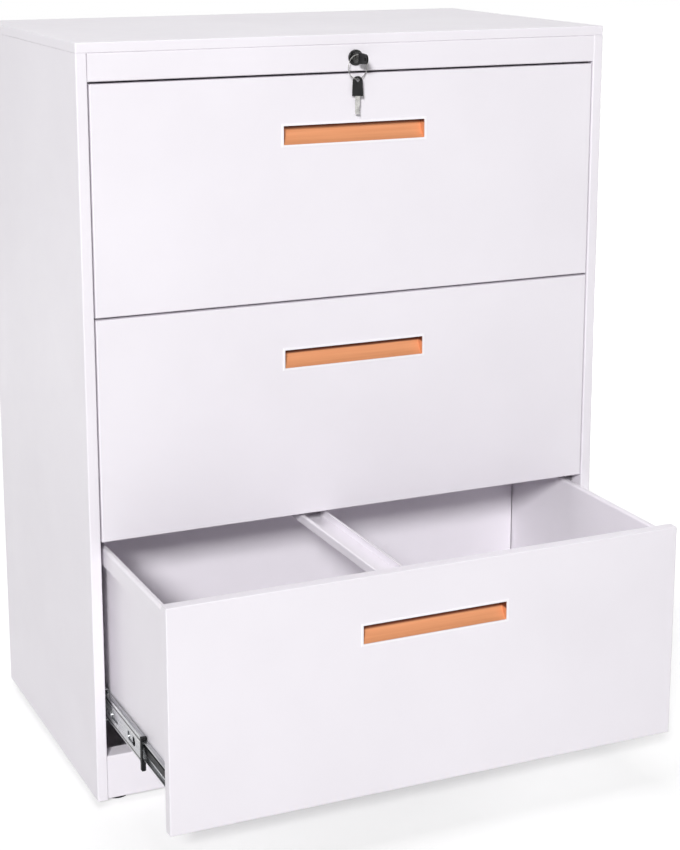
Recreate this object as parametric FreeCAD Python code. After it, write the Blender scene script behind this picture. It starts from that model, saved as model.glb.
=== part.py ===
import FreeCAD, Part
import math
import os

# Three-drawer lateral filing cabinet of folded white sheet steel on four screw feet.
# X runs across the front, Y from front to back and Z up.
# The origin is on the floor, under the middle of the carcass. Sizes are in millimetres.

# Carcass
WIDTH = 762.0  # over the side panels
DEPTH = 457.0  # drawer fronts to back panel
HEIGHT = 1025.0  # floor to lid
SHEET = 1.0  # steel sheet of carcass and drawers
BEND = 1.0  # inside radius of a fold
FOOT_LIFT = 8.0  # floor to underside of carcass
LID_EDGE = 13.0  # turned-down edge of the lid
LID_RETURN = 12.0  # lip under that edge
LID_ROUND = 1.5  # upper edge
LID_FOLD = 1.0  # lower edge, where the lip is folded in
LID_CORNER = 2.0
STILE = 15.0  # front face of a side panel
STILE_RETURN = 27.0  # how far the stile folds back
STILE_LIP = 8.0
REAR_FLANGE = 20.0
CAP_FLANGE = 18.0  # flanges of a side panel under lid and base
FLANGE_NOTCH = 3.0  # corner relief at the ends of those flanges
RAIL_HEIGHT = 36.0  # fascia over the top drawer
RAIL_FLANGE = 24.0
RAIL_LIP = 10.0
PLINTH_HEIGHT = 62.0
PLINTH_SETBACK = 2.0
PLINTH_FLANGE = 28.0
PLINTH_LIP = 8.0
PLINTH_TOE = 12.0
PAN_FLANGE = 30.0  # turned-up rear edge of the base
BACK_FLANGE = 12.0
UPRIGHT_DEPTH = 16.0  # side panel to the slides
UPRIGHT_WIDTH = 75.0
UPRIGHT_FOOT = 12.0
UPRIGHT_DROP = 12.0  # lid seat to top of upright
UPRIGHT_GAP = 2.0  # stile return to front upright
REAR_UPRIGHT = 45.0  # back panel to rear upright
HOLE_PITCH = 25.0  # row of holes along an upright
HOLE_HEIGHT = 14.0
HOLE_WIDTH = 4.0
HOLE_INSET = 8.0  # rear fold of the upright to the row

# Screw feet
FOOT_INSET_X = 35.0
FOOT_INSET_Y = 30.0
FOOT_RADIUS = 16.0
FOOT_RIM = 3.0
FOOT_NECK = 9.0
FOOT_HEIGHT = 7.0
FOOT_SOCKET = 3.0  # floor to the end of the screw
STUD_RADIUS = 4.0
STUD_LENGTH = 33.0
STUD_CLEARANCE = 0.1
NUT_FLATS = 13.0
NUT_HEIGHT = 6.5

# Drawers, counted from the bottom
DRAWERS = ("bottom", "middle", "top")
GAP = 3.0  # between drawer fronts
SIDE_GAP = 2.0  # drawer front to stile
FRONT_THICK = 16.0
FRONT_FLANGE = 20.0  # lip round the back of a front
FRONT_ROUND = 1.5
REAR_ROOM = 31.5  # back panel to the back of a closed drawer
BOX_BASE = 39.0  # foot of the front to the drawer bottom
SIDE_DROP = 10.0  # top of the front to top of the drawer side
SIDE_ROLL = 9.5  # rolled top of a drawer side
SIDE_SKIRT = 24.0
SIDE_FOOT = 14.0
ROLL_BEND = 2.5
TRAY_DROP = 16.0  # top of the front to the inner front and back
TRAY_GAP = 0.5  # tray to the fold at the foot of a drawer side
TRAY_LEDGE = 6.0
CATCH_FLANGE = 9.0  # rear flange of the tray, which the lock hooks
OPEN_AT_REST = 250.0  # how far the bottom drawer stands open
HANDLE_WIDTH = 206.0
HANDLE_HEIGHT = 25.0
HANDLE_DROP = 64.5  # top of the front to the handle opening
RIM_WIDTH = 3.0
RIM_PROUD = 0.7
CUP_DEPTH = 13.0
CUP_WALL = 1.4
CUP_FLANGE = 6.0
CUP_GRIP = 4.0  # finger room behind the upper edge
CUP_SLOPE = 19.0  # height of the curved back of the cup
CUP_CURVE = (0.66, 0.36)  # middle of that curve, as parts of its depth and height

# Hanging-file rail
FILE_RAIL_WIDTH = 40.0
FILE_RAIL_HEIGHT = 13.0
FILE_RAIL_HEM = 4.5
FILE_RAIL_X = -55.0
FILE_RAIL_SEAT = 0.2  # clearance over its seats
FILE_RAIL_END = 0.4
TAB_WIDTH = 24.0
TAB_DROP = 7.0
TAB_CLEARANCE = 0.3

# Telescopic ball-bearing slides: outer, middle and inner members nested in one another
SLIDE_RISE = 63.0  # foot of the front to the slide's middle line
SLIDE_SETBACK = 6.0  # drawer front to the front end of the slide
SLIDE_END = 2.5  # rear end of the slide to the back of the drawer
SLIDE_THICK = 12.7
GAUGE = 1.2
SLIDE_BEND = 0.8
OUTER_HALF = 22.65
OUTER_DEEP = 9.15
OUTER_LIP = 4.05
MIDDLE_HALF = 17.6
MIDDLE_OFFSET = 3.0
MIDDLE_DEEP = 11.0
MIDDLE_LIP = 4.0
INNER_HALF = 12.85
INNER_TIP = 5.8
MIDDLE_SHARE = 0.6  # part of the drawer's travel that the middle member makes
SLOT_LENGTH = 32.0
SLOT_WIDTH = 13.0
SLOT_PITCH = 72.0
SLOT_START = 36.0
STOP_THICK = 4.8
STOP_CLEARANCE = 0.6  # end stop to the inner member
STOP_TAB_WIDTH = 6.0
STOP_TAB_DROP = 11.0
STOP_TAB_GAP = 0.5  # tab to the outer member while closed
STOP_ROUND = 1.5
BALL_CLEARANCE = 0.17
BALL_COUNT = 3
CAGE_GAUGE = 0.7
CAGE_TIP_GAP = 0.45
OUTER_CAGE_START = 125.0
OUTER_CAGE_LENGTH = 150.0
INNER_CAGE_START = 85.0
INNER_CAGE_LENGTH = 200.0
LEVER_START = 14.0
LEVER_LENGTH = 88.0
LEVER_HEIGHT = 9.0
LEVER_THICK = 3.0
LEVER_GAP = 0.2
THUMB_RADIUS = 5.5
RIVET_RADIUS = 2.5
RIVET_CLEARANCE = 0.2

# Lock, keys and the bar that locks all drawers
BEZEL_RADIUS = 10.5
BEZEL_PROUD = 2.5
BARREL_RADIUS = 9.0
BARREL_LENGTH = 22.0
BARREL_CLEARANCE = 0.1
LOCK_NUT_FLATS = 24.0
LOCK_NUT_HEIGHT = 4.0
PLUG_RADIUS = 6.5
PLUG_PROUD = 3.2
PLUG_LENGTH = 25.0
PLUG_CLEARANCE = 0.1
KEYWAY_CLEARANCE = 0.15
SHAFT_RADIUS = 3.0
SHAFT_CLEARANCE = 0.1
CRANK_RADIUS = 10.0
CRANK_WIDTH = 8.0
CRANK_THICK = 2.0
PIN_RADIUS = 1.5
PIN_CLEARANCE = 0.5
PIN_END_GAP = 0.3
BAR_LEFT = -5.5
BAR_WIDTH = 35.0
BAR_THICK = 3.0
BAR_CLEARANCE = 0.5
BAR_TOP = 10.0  # lock axis to the top of the bar
BAR_FOOT = 22.0  # lowest hook to the foot of the bar
CHANNEL_LIP = 6.0
BRACKET_REACH = 22.5  # back panel to the face of the shaft bearing
BRACKET_HALF = 15.0
HOOK_WIDTH = 16.0
HOOK_THICK = 3.0
HOOK_TONGUE = 12.0
TONGUE_THICK = 2.3
HOOK_LIFT = 4.0  # catch flange to tongue while unlocked
CATCH_CLEARANCE = 1.5
CATCH_EDGE = 1.5  # drawer back to the slot in the catch flange
BLADE_THICK = 1.8
BLADE_HEIGHT = 6.4
BLADE_LENGTH = 24.0
BOW_NECK = 12.0  # cabinet face to the grip of the key
BOW_LENGTH = 26.0
BOW_WIDTH = 15.0
BOW_TAPER = 1.0
BOW_THICK = 2.4
BOW_HOLE = 2.5
BOW_HOLE_INSET = 5.0
SOCKET_DEPTH = 4.0  # how far a blade sits in its grip
NOTCH = 1.6
NOTCH_COUNT = 3
RING_RADIUS = 16.0
WIRE_RADIUS = 0.6
RING_CLEARANCE = 0.4
RING_TURN = 15.0  # ring against the cabinet face, in degrees
RING_OUT = 7.5  # cabinet face to the ring
SPARE_TURN = 35.0  # spare key against the cabinet face, in degrees
WIRE_IN_HOLE = 1.0

# Levels and planes that follow from the sizes
V = FreeCAD.Vector
ACROSS = V(1, 0, 0)
BACKWARD = V(0, 1, 0)
UP = V(0, 0, 1)
FACE = -DEPTH / 2
BACK = DEPTH / 2
UNDERSIDE = FOOT_LIFT
CARCASS_TOP = HEIGHT - LID_EDGE
RAIL_FOOT = CARCASS_TOP - RAIL_HEIGHT
PLINTH_TOP = UNDERSIDE + PLINTH_HEIGHT
FLOOR = UNDERSIDE + SHEET
FRONT_HEIGHT = (RAIL_FOOT - PLINTH_TOP - GAP * (len(DRAWERS) + 1)) / len(DRAWERS)
OPENING_HALF = WIDTH / 2 - STILE
FRONT_HALF = OPENING_HALF - SIDE_GAP
SLIDE_PLANE = WIDTH / 2 - SHEET - UPRIGHT_DEPTH
BOX_HALF = SLIDE_PLANE - SLIDE_THICK
BOX_FRONT = FACE + FRONT_THICK
BOX_BACK = BACK - SHEET - REAR_ROOM
SLIDE_FRONT = BOX_FRONT + SLIDE_SETBACK
SLIDE_LENGTH = BOX_BACK - SLIDE_END - SLIDE_FRONT
SLOT_COUNT = int((SLIDE_LENGTH - 2 * SLOT_START) // SLOT_PITCH) + 1
LOCK_Z = (RAIL_FOOT + CARCASS_TOP) / 2


def front_foot(number):
    """Height of the lower edge of a drawer front."""
    return PLINTH_TOP + GAP + number * (FRONT_HEIGHT + GAP)


def block(low, high):
    """Box between two corners."""
    return Part.makeBox(high[0] - low[0], high[1] - low[1], high[2] - low[2], V(*low))


def rod(radius, start, along):
    """Round bar from a point, along a vector."""
    return Part.makeCylinder(radius, along.Length, start, along)


def joined(first, *others):
    """One solid from touching or crossing ones."""
    return first.multiFuse(list(others)).removeSplitter().Solids[0]


def mirrored(shape):
    """The same piece on the other side of the cabinet."""
    return shape.mirror(V(0, 0, 0), ACROSS)


def both_sides(*shapes):
    """Left pieces together with their right twins."""
    return Part.makeCompound([*shapes, *(mirrored(shape) for shape in shapes)])


def in_plan(z):
    """Lays a profile flat at a height."""
    return lambda p: V(p.x, p.y, z)


def seen_from_side(x):
    """Lays a profile in a plane across X: first number Y, second Z."""
    return lambda p: V(x, p.x, p.y)


def seen_from_front(y):
    """Lays a profile in a plane across Y: first number X, second Z."""
    return lambda p: V(p.x, y, p.y)


def left_of(direction):
    return V(-direction.y, direction.x, 0)


def unit(vector):
    return vector / vector.Length


def bend(before, corner, after, wall, inside):
    """Arcs of one fold on the path and on its wall side; a zero radius leaves the corner alone."""
    go_in, go_out = unit(corner - before), unit(after - corner)
    turn = math.atan2(go_in.cross(go_out).z, go_in.dot(go_out))
    side = math.copysign(1, turn)
    radius = inside + wall if side > 0 else inside
    back = radius * math.tan(abs(turn) / 2)
    start, end = corner - go_in * back, corner + go_out * back
    centre = start + left_of(go_in) * side * radius
    towards_corner = unit(go_in - go_out)
    near = [start, centre + towards_corner * radius, end] if radius else [corner]
    far_radius = radius - side * wall
    far_start, far_end = start + left_of(go_in) * wall, end + left_of(go_out) * wall
    far = [far_start, centre + towards_corner * far_radius, far_end] if far_radius else [centre]
    return near, far


def chain(stops, lay):
    """Straight edges between stops, with an arc through each stop of three points."""
    edges = []
    for before, after in zip(stops, stops[1:]):
        edges.append(Part.makeLine(lay(before[-1]), lay(after[0])))
        if len(after) == 3:
            edges.append(Part.Arc(*(lay(point) for point in after)).toShape())
    return edges


def folded(path, wall, inside, lay, run):
    """Sheet folded along a path of flat runs, its wall to the left; one inside radius, or one per fold."""
    points = [V(u, v, 0) for u, v in path]
    first, last = left_of(unit(points[1] - points[0])), left_of(unit(points[-1] - points[-2]))
    radii = inside if isinstance(inside, list) else [inside] * (len(points) - 2)
    folds = [bend(a, b, c, wall, r) for a, b, c, r in zip(points, points[1:], points[2:], radii)]
    near = [[points[0]]] + [fold[0] for fold in folds] + [[points[-1]]]
    far = [[points[0] + first * wall]] + [fold[1] for fold in folds] + [[points[-1] + last * wall]]
    way_back = [stop[::-1] for stop in reversed(far)]
    edges = chain(near + [way_back[0]], lay) + chain(way_back + [near[0]], lay)
    return Part.Face(Part.Wire(edges)).extrude(run)


def slot(centre, length, width, lengthways, sideways, run):
    """Long hole with round ends, as the solid to cut."""
    radius = width / 2
    reach = lengthways * (length / 2 - radius)
    a, b = centre - reach, centre + reach
    up, end = sideways * radius, lengthways * radius
    edges = [
        Part.makeLine(a + up, b + up),
        Part.Arc(b + up, b + end, b - up).toShape(),
        Part.makeLine(b - up, a - up),
        Part.Arc(a - up, a - end, a + up).toShape(),
    ]
    return Part.Face(Part.Wire(edges)).extrude(run)


def hexagon(flats, lay, run):
    """Six-sided prism of a width across flats."""
    radius = flats / math.sqrt(3)
    turns = [k * math.pi / 3 for k in range(6)]
    corners = [V(radius * math.cos(turn), radius * math.sin(turn), 0) for turn in turns]
    return Part.Face(Part.makePolygon([lay(corner) for corner in corners + corners[:1]])).extrude(run)


# Carcass pieces


def side_panel():
    """Left side: skin, stile with its return, rear flange, and flanges under lid and base."""
    outer = -WIDTH / 2
    path = [
        (outer + REAR_FLANGE, BACK - SHEET),
        (outer, BACK - SHEET),
        (outer, FACE),
        (outer + STILE, FACE),
        (outer + STILE, FACE + STILE_RETURN),
        (outer + STILE - STILE_LIP, FACE + STILE_RETURN),
    ]
    skin = folded(path, SHEET, BEND, in_plan(UNDERSIDE), UP * (CARCASS_TOP - UNDERSIDE))
    y0, y1 = FACE + STILE_RETURN + FLANGE_NOTCH, BACK - 2 * SHEET - FLANGE_NOTCH
    flanges = [
        block((outer, y0, z), (outer + CAP_FLANGE, y1, z + SHEET)) for z in (UNDERSIDE, CARCASS_TOP - SHEET)
    ]
    return joined(skin, *flanges)


def back_panel():
    """Flat back with flanges turned in at top and bottom, between the rear flanges of the sides."""
    tip = BACK - BACK_FLANGE
    path = [(tip, UNDERSIDE), (BACK, UNDERSIDE), (BACK, CARCASS_TOP), (tip, CARCASS_TOP)]
    half = WIDTH / 2 - REAR_FLANGE - FLANGE_NOTCH
    tray = folded(path, SHEET, BEND, seen_from_side(-half), ACROSS * 2 * half)
    wide = WIDTH / 2 - SHEET / 2
    edge = SHEET + BEND
    sheet = block((-wide, BACK - SHEET, UNDERSIDE + edge), (wide, BACK, CARCASS_TOP - edge))
    return joined(tray, sheet)


def lid():
    """Shallow lid with turned-down edges and a lip under them, open below."""
    x, y = WIDTH / 2, DEPTH / 2
    shell = block((-x, -y, CARCASS_TOP), (x, y, HEIGHT))
    half_way = HEIGHT - LID_EDGE / 2
    corners = [edge for edge in shell.Edges if abs(edge.CenterOfMass.z - half_way) < LID_EDGE / 4]
    shell = shell.makeFillet(LID_CORNER, corners)
    upper = [edge for edge in shell.Edges if edge.CenterOfMass.z > HEIGHT - LID_EDGE / 4]
    shell = shell.makeFillet(LID_ROUND, upper)
    lower = [edge for edge in shell.Edges if edge.CenterOfMass.z < CARCASS_TOP + LID_EDGE / 4]
    shell = shell.makeFillet(LID_FOLD, lower)
    inside = block((-x + SHEET, -y + SHEET, CARCASS_TOP + SHEET), (x - SHEET, y - SHEET, HEIGHT - SHEET))
    x, y = x - LID_RETURN, y - LID_RETURN
    mouth = block((-x, -y, CARCASS_TOP), (x, y, HEIGHT - SHEET))
    return shell.cut(inside.fuse(mouth)).Solids[0]


def top_rail():
    """Fascia between the stiles over the top drawer, with the hole for the lock."""
    rear = FACE + RAIL_FLANGE
    path = [
        (rear, CARCASS_TOP),
        (FACE, CARCASS_TOP),
        (FACE, RAIL_FOOT),
        (rear, RAIL_FOOT),
        (rear, RAIL_FOOT + RAIL_LIP),
    ]
    rail = folded(path, SHEET, BEND, seen_from_side(-OPENING_HALF), ACROSS * 2 * OPENING_HALF)
    hole = rod(BARREL_RADIUS + BARREL_CLEARANCE, V(0, FACE - SHEET, LOCK_Z), BACKWARD * 3 * SHEET)
    return rail.cut(hole).Solids[0]


def plinth_rail():
    """Toe rail between the stiles under the bottom drawer."""
    front, rear = FACE + PLINTH_SETBACK, FACE + PLINTH_SETBACK + PLINTH_FLANGE
    path = [
        (rear, PLINTH_TOP - PLINTH_LIP),
        (rear, PLINTH_TOP),
        (front, PLINTH_TOP),
        (front, UNDERSIDE),
        (front + PLINTH_TOE, UNDERSIDE),
    ]
    return folded(path, SHEET, BEND, seen_from_side(-OPENING_HALF), ACROSS * 2 * OPENING_HALF)


def foot_places():
    """Name and centre of each screw foot."""
    x, y = WIDTH / 2 - FOOT_INSET_X, DEPTH / 2 - FOOT_INSET_Y
    return [
        ("front_left", -x, -y),
        ("front_right", x, -y),
        ("rear_left", -x, y),
        ("rear_right", x, y),
    ]


def base_pan():
    """Floor of the carcass with a turned-up rear edge and a weld nut over each foot."""
    inside, middle = WIDTH / 2 - SHEET, WIDTH / 2 - REAR_FLANGE - FLANGE_NOTCH
    rear, stile_end = BACK - SHEET - BEND, FACE + STILE_RETURN
    nose = FACE + PLINTH_SETBACK + SHEET + BEND
    top = FLOOR + SHEET
    pan = joined(
        block((-inside, stile_end, FLOOR), (inside, rear - SHEET, top)),
        block((-OPENING_HALF, nose, FLOOR), (OPENING_HALF, stile_end, top)),
        block((-middle, rear - SHEET, FLOOR), (middle, rear, FLOOR + PAN_FLANGE)),
    )
    for _, x, y in foot_places():
        nut = hexagon(NUT_FLATS, lambda p, x=x, y=y: V(x + p.x, y + p.y, top), UP * NUT_HEIGHT)
        hole = rod(STUD_RADIUS + STUD_CLEARANCE, V(x, y, UNDERSIDE), UP * (2 * SHEET + NUT_HEIGHT + 1))
        pan = joined(pan, nut).cut(hole).Solids[0]
    return pan


def upright(front):
    """Hat-section post on the left side panel, with a row of holes along the web that carries the slides."""
    skin = -WIDTH / 2 + 2 * SHEET
    rear = front + UPRIGHT_WIDTH
    path = [
        (skin, front),
        (skin, front + UPRIGHT_FOOT),
        (-SLIDE_PLANE, front + UPRIGHT_FOOT),
        (-SLIDE_PLANE, rear - UPRIGHT_FOOT),
        (skin, rear - UPRIGHT_FOOT),
        (skin, rear),
    ]
    foot, top = FLOOR + SHEET, CARCASS_TOP - UPRIGHT_DROP
    post = folded(path, SHEET, BEND, in_plan(foot), UP * (top - foot))
    y = rear - UPRIGHT_FOOT - HOLE_INSET
    holes = [
        block((-SLIDE_PLANE - SHEET, y - HOLE_WIDTH, z), (-SLIDE_PLANE, y, z + HOLE_HEIGHT))
        for z in (foot + (k + 1) * HOLE_PITCH for k in range(int((top - foot) // HOLE_PITCH) - 1))
    ]
    return post.cut(Part.makeCompound(holes)).Solids[0]


def screw_foot(x, y):
    """Plastic glide with a screw standing in its socket."""
    outline = [
        V(0, 0, 0),
        V(FOOT_RADIUS, 0, 0),
        V(FOOT_RADIUS, 0, FOOT_RIM),
        V(FOOT_NECK, 0, FOOT_HEIGHT),
        V(STUD_RADIUS, 0, FOOT_HEIGHT),
        V(STUD_RADIUS, 0, FOOT_SOCKET),
        V(0, 0, FOOT_SOCKET),
    ]
    glide = Part.Face(Part.makePolygon(outline + outline[:1])).revolve(V(0, 0, 0), UP, 360)
    stud = rod(STUD_RADIUS, V(0, 0, FOOT_SOCKET), UP * STUD_LENGTH)
    foot = Part.makeCompound([glide, stud])
    foot.translate(V(x, y, 0))
    return foot


# Drawer pieces, made closed


def handle_levels(number):
    """Lower and upper edge of the handle opening."""
    top = front_foot(number) + FRONT_HEIGHT - HANDLE_DROP
    return top - HANDLE_HEIGHT, top


def drawer_front(number):
    """Folded front, open behind within its lip, with a raised rim round the handle opening."""
    foot, head = front_foot(number), front_foot(number) + FRONT_HEIGHT
    panel = block((-FRONT_HALF, FACE, foot), (FRONT_HALF, BOX_FRONT, head))
    panel = panel.makeFillet(FRONT_ROUND, [e for e in panel.Edges if e.CenterOfMass.y < FACE + SHEET / 2])
    inner, lip = FRONT_HALF - SHEET, FRONT_HALF - FRONT_FLANGE
    hollow = block((-inner, FACE + SHEET, foot + SHEET), (inner, BOX_FRONT - SHEET, head - SHEET))
    mouth = block((-lip, FACE + SHEET, foot + FRONT_FLANGE), (lip, BOX_FRONT, head - FRONT_FLANGE))
    low, high = handle_levels(number)
    half = HANDLE_WIDTH / 2
    edge = half + RIM_WIDTH
    rim = block((-edge, FACE - RIM_PROUD, low - RIM_WIDTH), (edge, FACE + SHEET, high + RIM_WIDTH))
    rim = rim.makeChamfer(RIM_PROUD / 2, [e for e in rim.Edges if e.CenterOfMass.y < FACE - RIM_PROUD / 2])
    opening = block((-half, FACE - 2 * RIM_PROUD, low), (half, FACE + 2 * SHEET, high))
    return joined(panel.cut(hollow.fuse(mouth)), rim).cut(opening).Solids[0]


def scoop(grow, half, number):
    """Solid of the finger hollow, or of the cup round it when grown by the wall."""
    low, high = handle_levels(number)
    front, back = FACE + SHEET, FACE + CUP_DEPTH + grow
    top, sill = high + CUP_GRIP + grow, low - grow
    shoulder = low + CUP_SLOPE
    inwards, upwards = CUP_CURVE
    middle = V(0, front + inwards * (back - front), sill + upwards * (shoulder - sill))
    corners = [V(0, back, shoulder), V(0, back, top), V(0, front, top), V(0, front, sill)]
    curve = Part.Arc(corners[3], middle, corners[0]).toShape()
    profile = Part.Face(Part.Wire([curve] + Part.makePolygon(corners).Edges))
    profile.translate(ACROSS * -half)
    return profile.extrude(ACROSS * 2 * half)


def handle_cup(number):
    """Moulded finger cup held behind the drawer front by its flange."""
    low, high = handle_levels(number)
    half = HANDLE_WIDTH / 2
    front = FACE + SHEET
    edge = half + CUP_FLANGE
    flange = block((-edge, front, low - CUP_FLANGE), (edge, front + CUP_WALL, high + CUP_FLANGE))
    body = joined(scoop(CUP_WALL, half + CUP_WALL, number), flange)
    return body.cut(scoop(0, half, number)).Solids[0]


def drawer_tray(number):
    """Inner front, bottom and back of the drawer, folded from one sheet, with the slot for the lock."""
    bottom, top = front_foot(number) + BOX_BASE, front_foot(number) + FRONT_HEIGHT - TRAY_DROP
    path = [
        (BOX_FRONT + TRAY_LEDGE, top),
        (BOX_FRONT, top),
        (BOX_FRONT, bottom),
        (BOX_BACK, bottom),
        (BOX_BACK, top - SHEET),
        (BOX_BACK + CATCH_FLANGE, top - SHEET),
    ]
    half = BOX_HALF - SHEET - BEND - TRAY_GAP
    tray = folded(path, SHEET, BEND, seen_from_side(-half), ACROSS * 2 * half)
    left, front = hook_left() - CATCH_CLEARANCE, BOX_BACK + CATCH_EDGE
    catch = block(
        (left, front, top - 3 * SHEET),
        (left + HOOK_WIDTH + 2 * CATCH_CLEARANCE, front + TONGUE_THICK + 2 * CATCH_CLEARANCE, top + SHEET),
    )
    return tray.cut(catch).Solids[0]


def drawer_side(number):
    """Left side of the drawer: foot under the tray, wall, and a rolled top for hanging files."""
    inner, bottom = -(BOX_HALF - SHEET), front_foot(number) + BOX_BASE
    top = front_foot(number) + FRONT_HEIGHT - SIDE_DROP
    path = [
        (inner + SIDE_FOOT, bottom),
        (inner, bottom),
        (inner, top),
        (inner - SIDE_ROLL, top),
        (inner - SIDE_ROLL, top - SIDE_SKIRT),
    ]
    radii = [BEND, ROLL_BEND, ROLL_BEND]
    return folded(path, SHEET, radii, seen_from_front(BOX_FRONT), BACKWARD * (BOX_BACK - BOX_FRONT))


def file_rail(number):
    """Channel across the drawer from front to back whose two lips carry hanging files."""
    seat = front_foot(number) + FRONT_HEIGHT - TRAY_DROP + FILE_RAIL_SEAT
    left, right = FILE_RAIL_X - FILE_RAIL_WIDTH / 2, FILE_RAIL_X + FILE_RAIL_WIDTH / 2
    top = seat + FILE_RAIL_HEIGHT
    path = [
        (left + FILE_RAIL_HEM, top),
        (left, top),
        (left, seat),
        (right, seat),
        (right, top),
        (right - FILE_RAIL_HEM, top),
    ]
    front, rear = BOX_FRONT + FILE_RAIL_END, BOX_BACK + FILE_RAIL_END
    channel = folded(path, SHEET, BEND, seen_from_front(front), BACKWARD * (rear - front))
    x0, x1 = FILE_RAIL_X - TAB_WIDTH / 2, FILE_RAIL_X + TAB_WIDTH / 2
    tabs = [
        block((x0, y, seat - TAB_DROP), (x1, y + SHEET, seat + SHEET))
        for y in (BOX_FRONT + TRAY_LEDGE + TAB_CLEARANCE, BOX_BACK - 2 * SHEET - TAB_CLEARANCE)
    ]
    return joined(channel, *tabs)


# Slide members, made closed on the left side


def slide_profile(path, gauge, inside, number, start, length):
    """Drawn profile of a slide: first number inwards from the upright, second up from the middle line."""
    z = front_foot(number) + SLIDE_RISE
    y = SLIDE_FRONT + start
    return folded(path, gauge, inside, lambda p: V(p.x - SLIDE_PLANE, y, z + p.y), BACKWARD * length)


def channel_path(back, lip_at, half, lip):
    """Channel open towards the drawer, with lips turned towards the middle line."""
    tip = half - lip
    return [(lip_at, tip), (lip_at, half), (back, half), (back, -half), (lip_at, -half), (lip_at, -tip)]


def web_slots(number, inwards, start):
    """Long holes along the web of a slide member."""
    z = front_foot(number) + SLIDE_RISE
    x = inwards - SLIDE_PLANE
    run = ACROSS * GAUGE
    return [
        slot(V(x, SLIDE_FRONT + start + k * SLOT_PITCH, z), SLOT_LENGTH, SLOT_WIDTH, BACKWARD, UP, run)
        for k in range(SLOT_COUNT)
    ]


def outer_member(number):
    """Member fixed to the uprights."""
    path = channel_path(0, OUTER_DEEP, OUTER_HALF, OUTER_LIP)
    member = slide_profile(path, GAUGE, SLIDE_BEND, number, 0, SLIDE_LENGTH)
    return member.cut(Part.makeCompound(web_slots(number, 0, SLOT_START))).Solids[0]


def middle_member(number):
    """Member that runs between the other two."""
    path = channel_path(MIDDLE_OFFSET, MIDDLE_DEEP, MIDDLE_HALF, MIDDLE_LIP)
    member = slide_profile(path, GAUGE, SLIDE_BEND, number, 0, SLIDE_LENGTH)
    return member.cut(Part.makeCompound(web_slots(number, MIDDLE_OFFSET, SLOT_START))).Solids[0]


def slide_stop(number):
    """Moulded stop on the front end of the middle member, open for the inner one, with a tab below."""
    z, x = front_foot(number) + SLIDE_RISE, -SLIDE_PLANE
    front = SLIDE_FRONT - STOP_THICK
    left, right = x + MIDDLE_OFFSET, x + MIDDLE_DEEP
    plate = block((left, front, z - MIDDLE_HALF), (right, SLIDE_FRONT, z + MIDDLE_HALF))
    room = INNER_HALF + STOP_CLEARANCE
    passage = block((x + INNER_TIP - STOP_CLEARANCE, front, z - room), (right, SLIDE_FRONT, z + room))
    foot = z - MIDDLE_HALF - STOP_TAB_DROP
    tab = block((left, front, foot), (left + STOP_TAB_WIDTH, SLIDE_FRONT - STOP_TAB_GAP, z - MIDDLE_HALF))
    lower = [edge for edge in tab.Edges if edge.BoundBox.ZMax < z - MIDDLE_HALF - STOP_TAB_DROP / 2]
    tab = tab.makeFillet(STOP_ROUND, [edge for edge in lower if edge.BoundBox.YLength > STOP_TAB_GAP])
    return joined(plate.cut(passage), tab)


def lever_pivot(number):
    """Point on the slide's middle line where the release lever turns, at the web of the inner member."""
    return V(SLIDE_THICK - GAUGE - SLIDE_PLANE, SLIDE_FRONT + LEVER_START, front_foot(number) + SLIDE_RISE)


def inner_member(number):
    """Member fixed to the drawer side, with the rivet of the release lever."""
    path = [
        (INNER_TIP, -INNER_HALF),
        (SLIDE_THICK, -INNER_HALF),
        (SLIDE_THICK, INNER_HALF),
        (INNER_TIP, INNER_HALF),
    ]
    member = slide_profile(path, GAUGE, SLIDE_BEND, number, 0, SLIDE_LENGTH)
    rivet = rod(RIVET_RADIUS, lever_pivot(number), ACROSS * -(LEVER_GAP + LEVER_THICK))
    return joined(member, rivet)


def release_lever(number):
    """Plastic lever on the inner member that frees the drawer from its slide."""
    pivot = lever_pivot(number) - ACROSS * LEVER_GAP
    run = ACROSS * -LEVER_THICK
    reach = LEVER_LENGTH - LEVER_HEIGHT
    arm = slot(pivot + BACKWARD * reach / 2, LEVER_LENGTH, LEVER_HEIGHT, BACKWARD, UP, run)
    thumb = rod(THUMB_RADIUS, pivot + BACKWARD * (reach - THUMB_RADIUS), run)
    hole = rod(RIVET_RADIUS + RIVET_CLEARANCE, pivot, run)
    return joined(arm, thumb).cut(hole).Solids[0]


def ball_cage(number, web_between, race_between, lip_face, start, length):
    """Cage between two members: a bent strip with its balls held in both rows."""
    web = (web_between[0] + web_between[1] - CAGE_GAUGE) / 2
    row = (race_between[0] + race_between[1]) / 2
    radius = (race_between[1] - race_between[0]) / 2 - BALL_CLEARANCE
    half, tip = row + CAGE_GAUGE / 2, lip_face - CAGE_TIP_GAP
    path = [(tip, half), (web, half), (web, -half), (tip, -half)]
    strip = slide_profile(path, CAGE_GAUGE, 0.0, number, start, length)
    x = (web + CAGE_GAUGE + lip_face) / 2 - SLIDE_PLANE
    z = front_foot(number) + SLIDE_RISE
    pitch = length / BALL_COUNT
    rows = [SLIDE_FRONT + start + (k + 0.5) * pitch for k in range(BALL_COUNT)]
    balls = [Part.makeSphere(radius, V(x, y, z + side * row)) for y in rows for side in (-1, 1)]
    return joined(strip, *balls)


def outer_cage(number):
    """Balls between outer and middle member."""
    races = (MIDDLE_HALF, OUTER_HALF - GAUGE)
    lip_face = OUTER_DEEP - GAUGE
    return ball_cage(number, (GAUGE, MIDDLE_OFFSET), races, lip_face, OUTER_CAGE_START, OUTER_CAGE_LENGTH)


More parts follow.
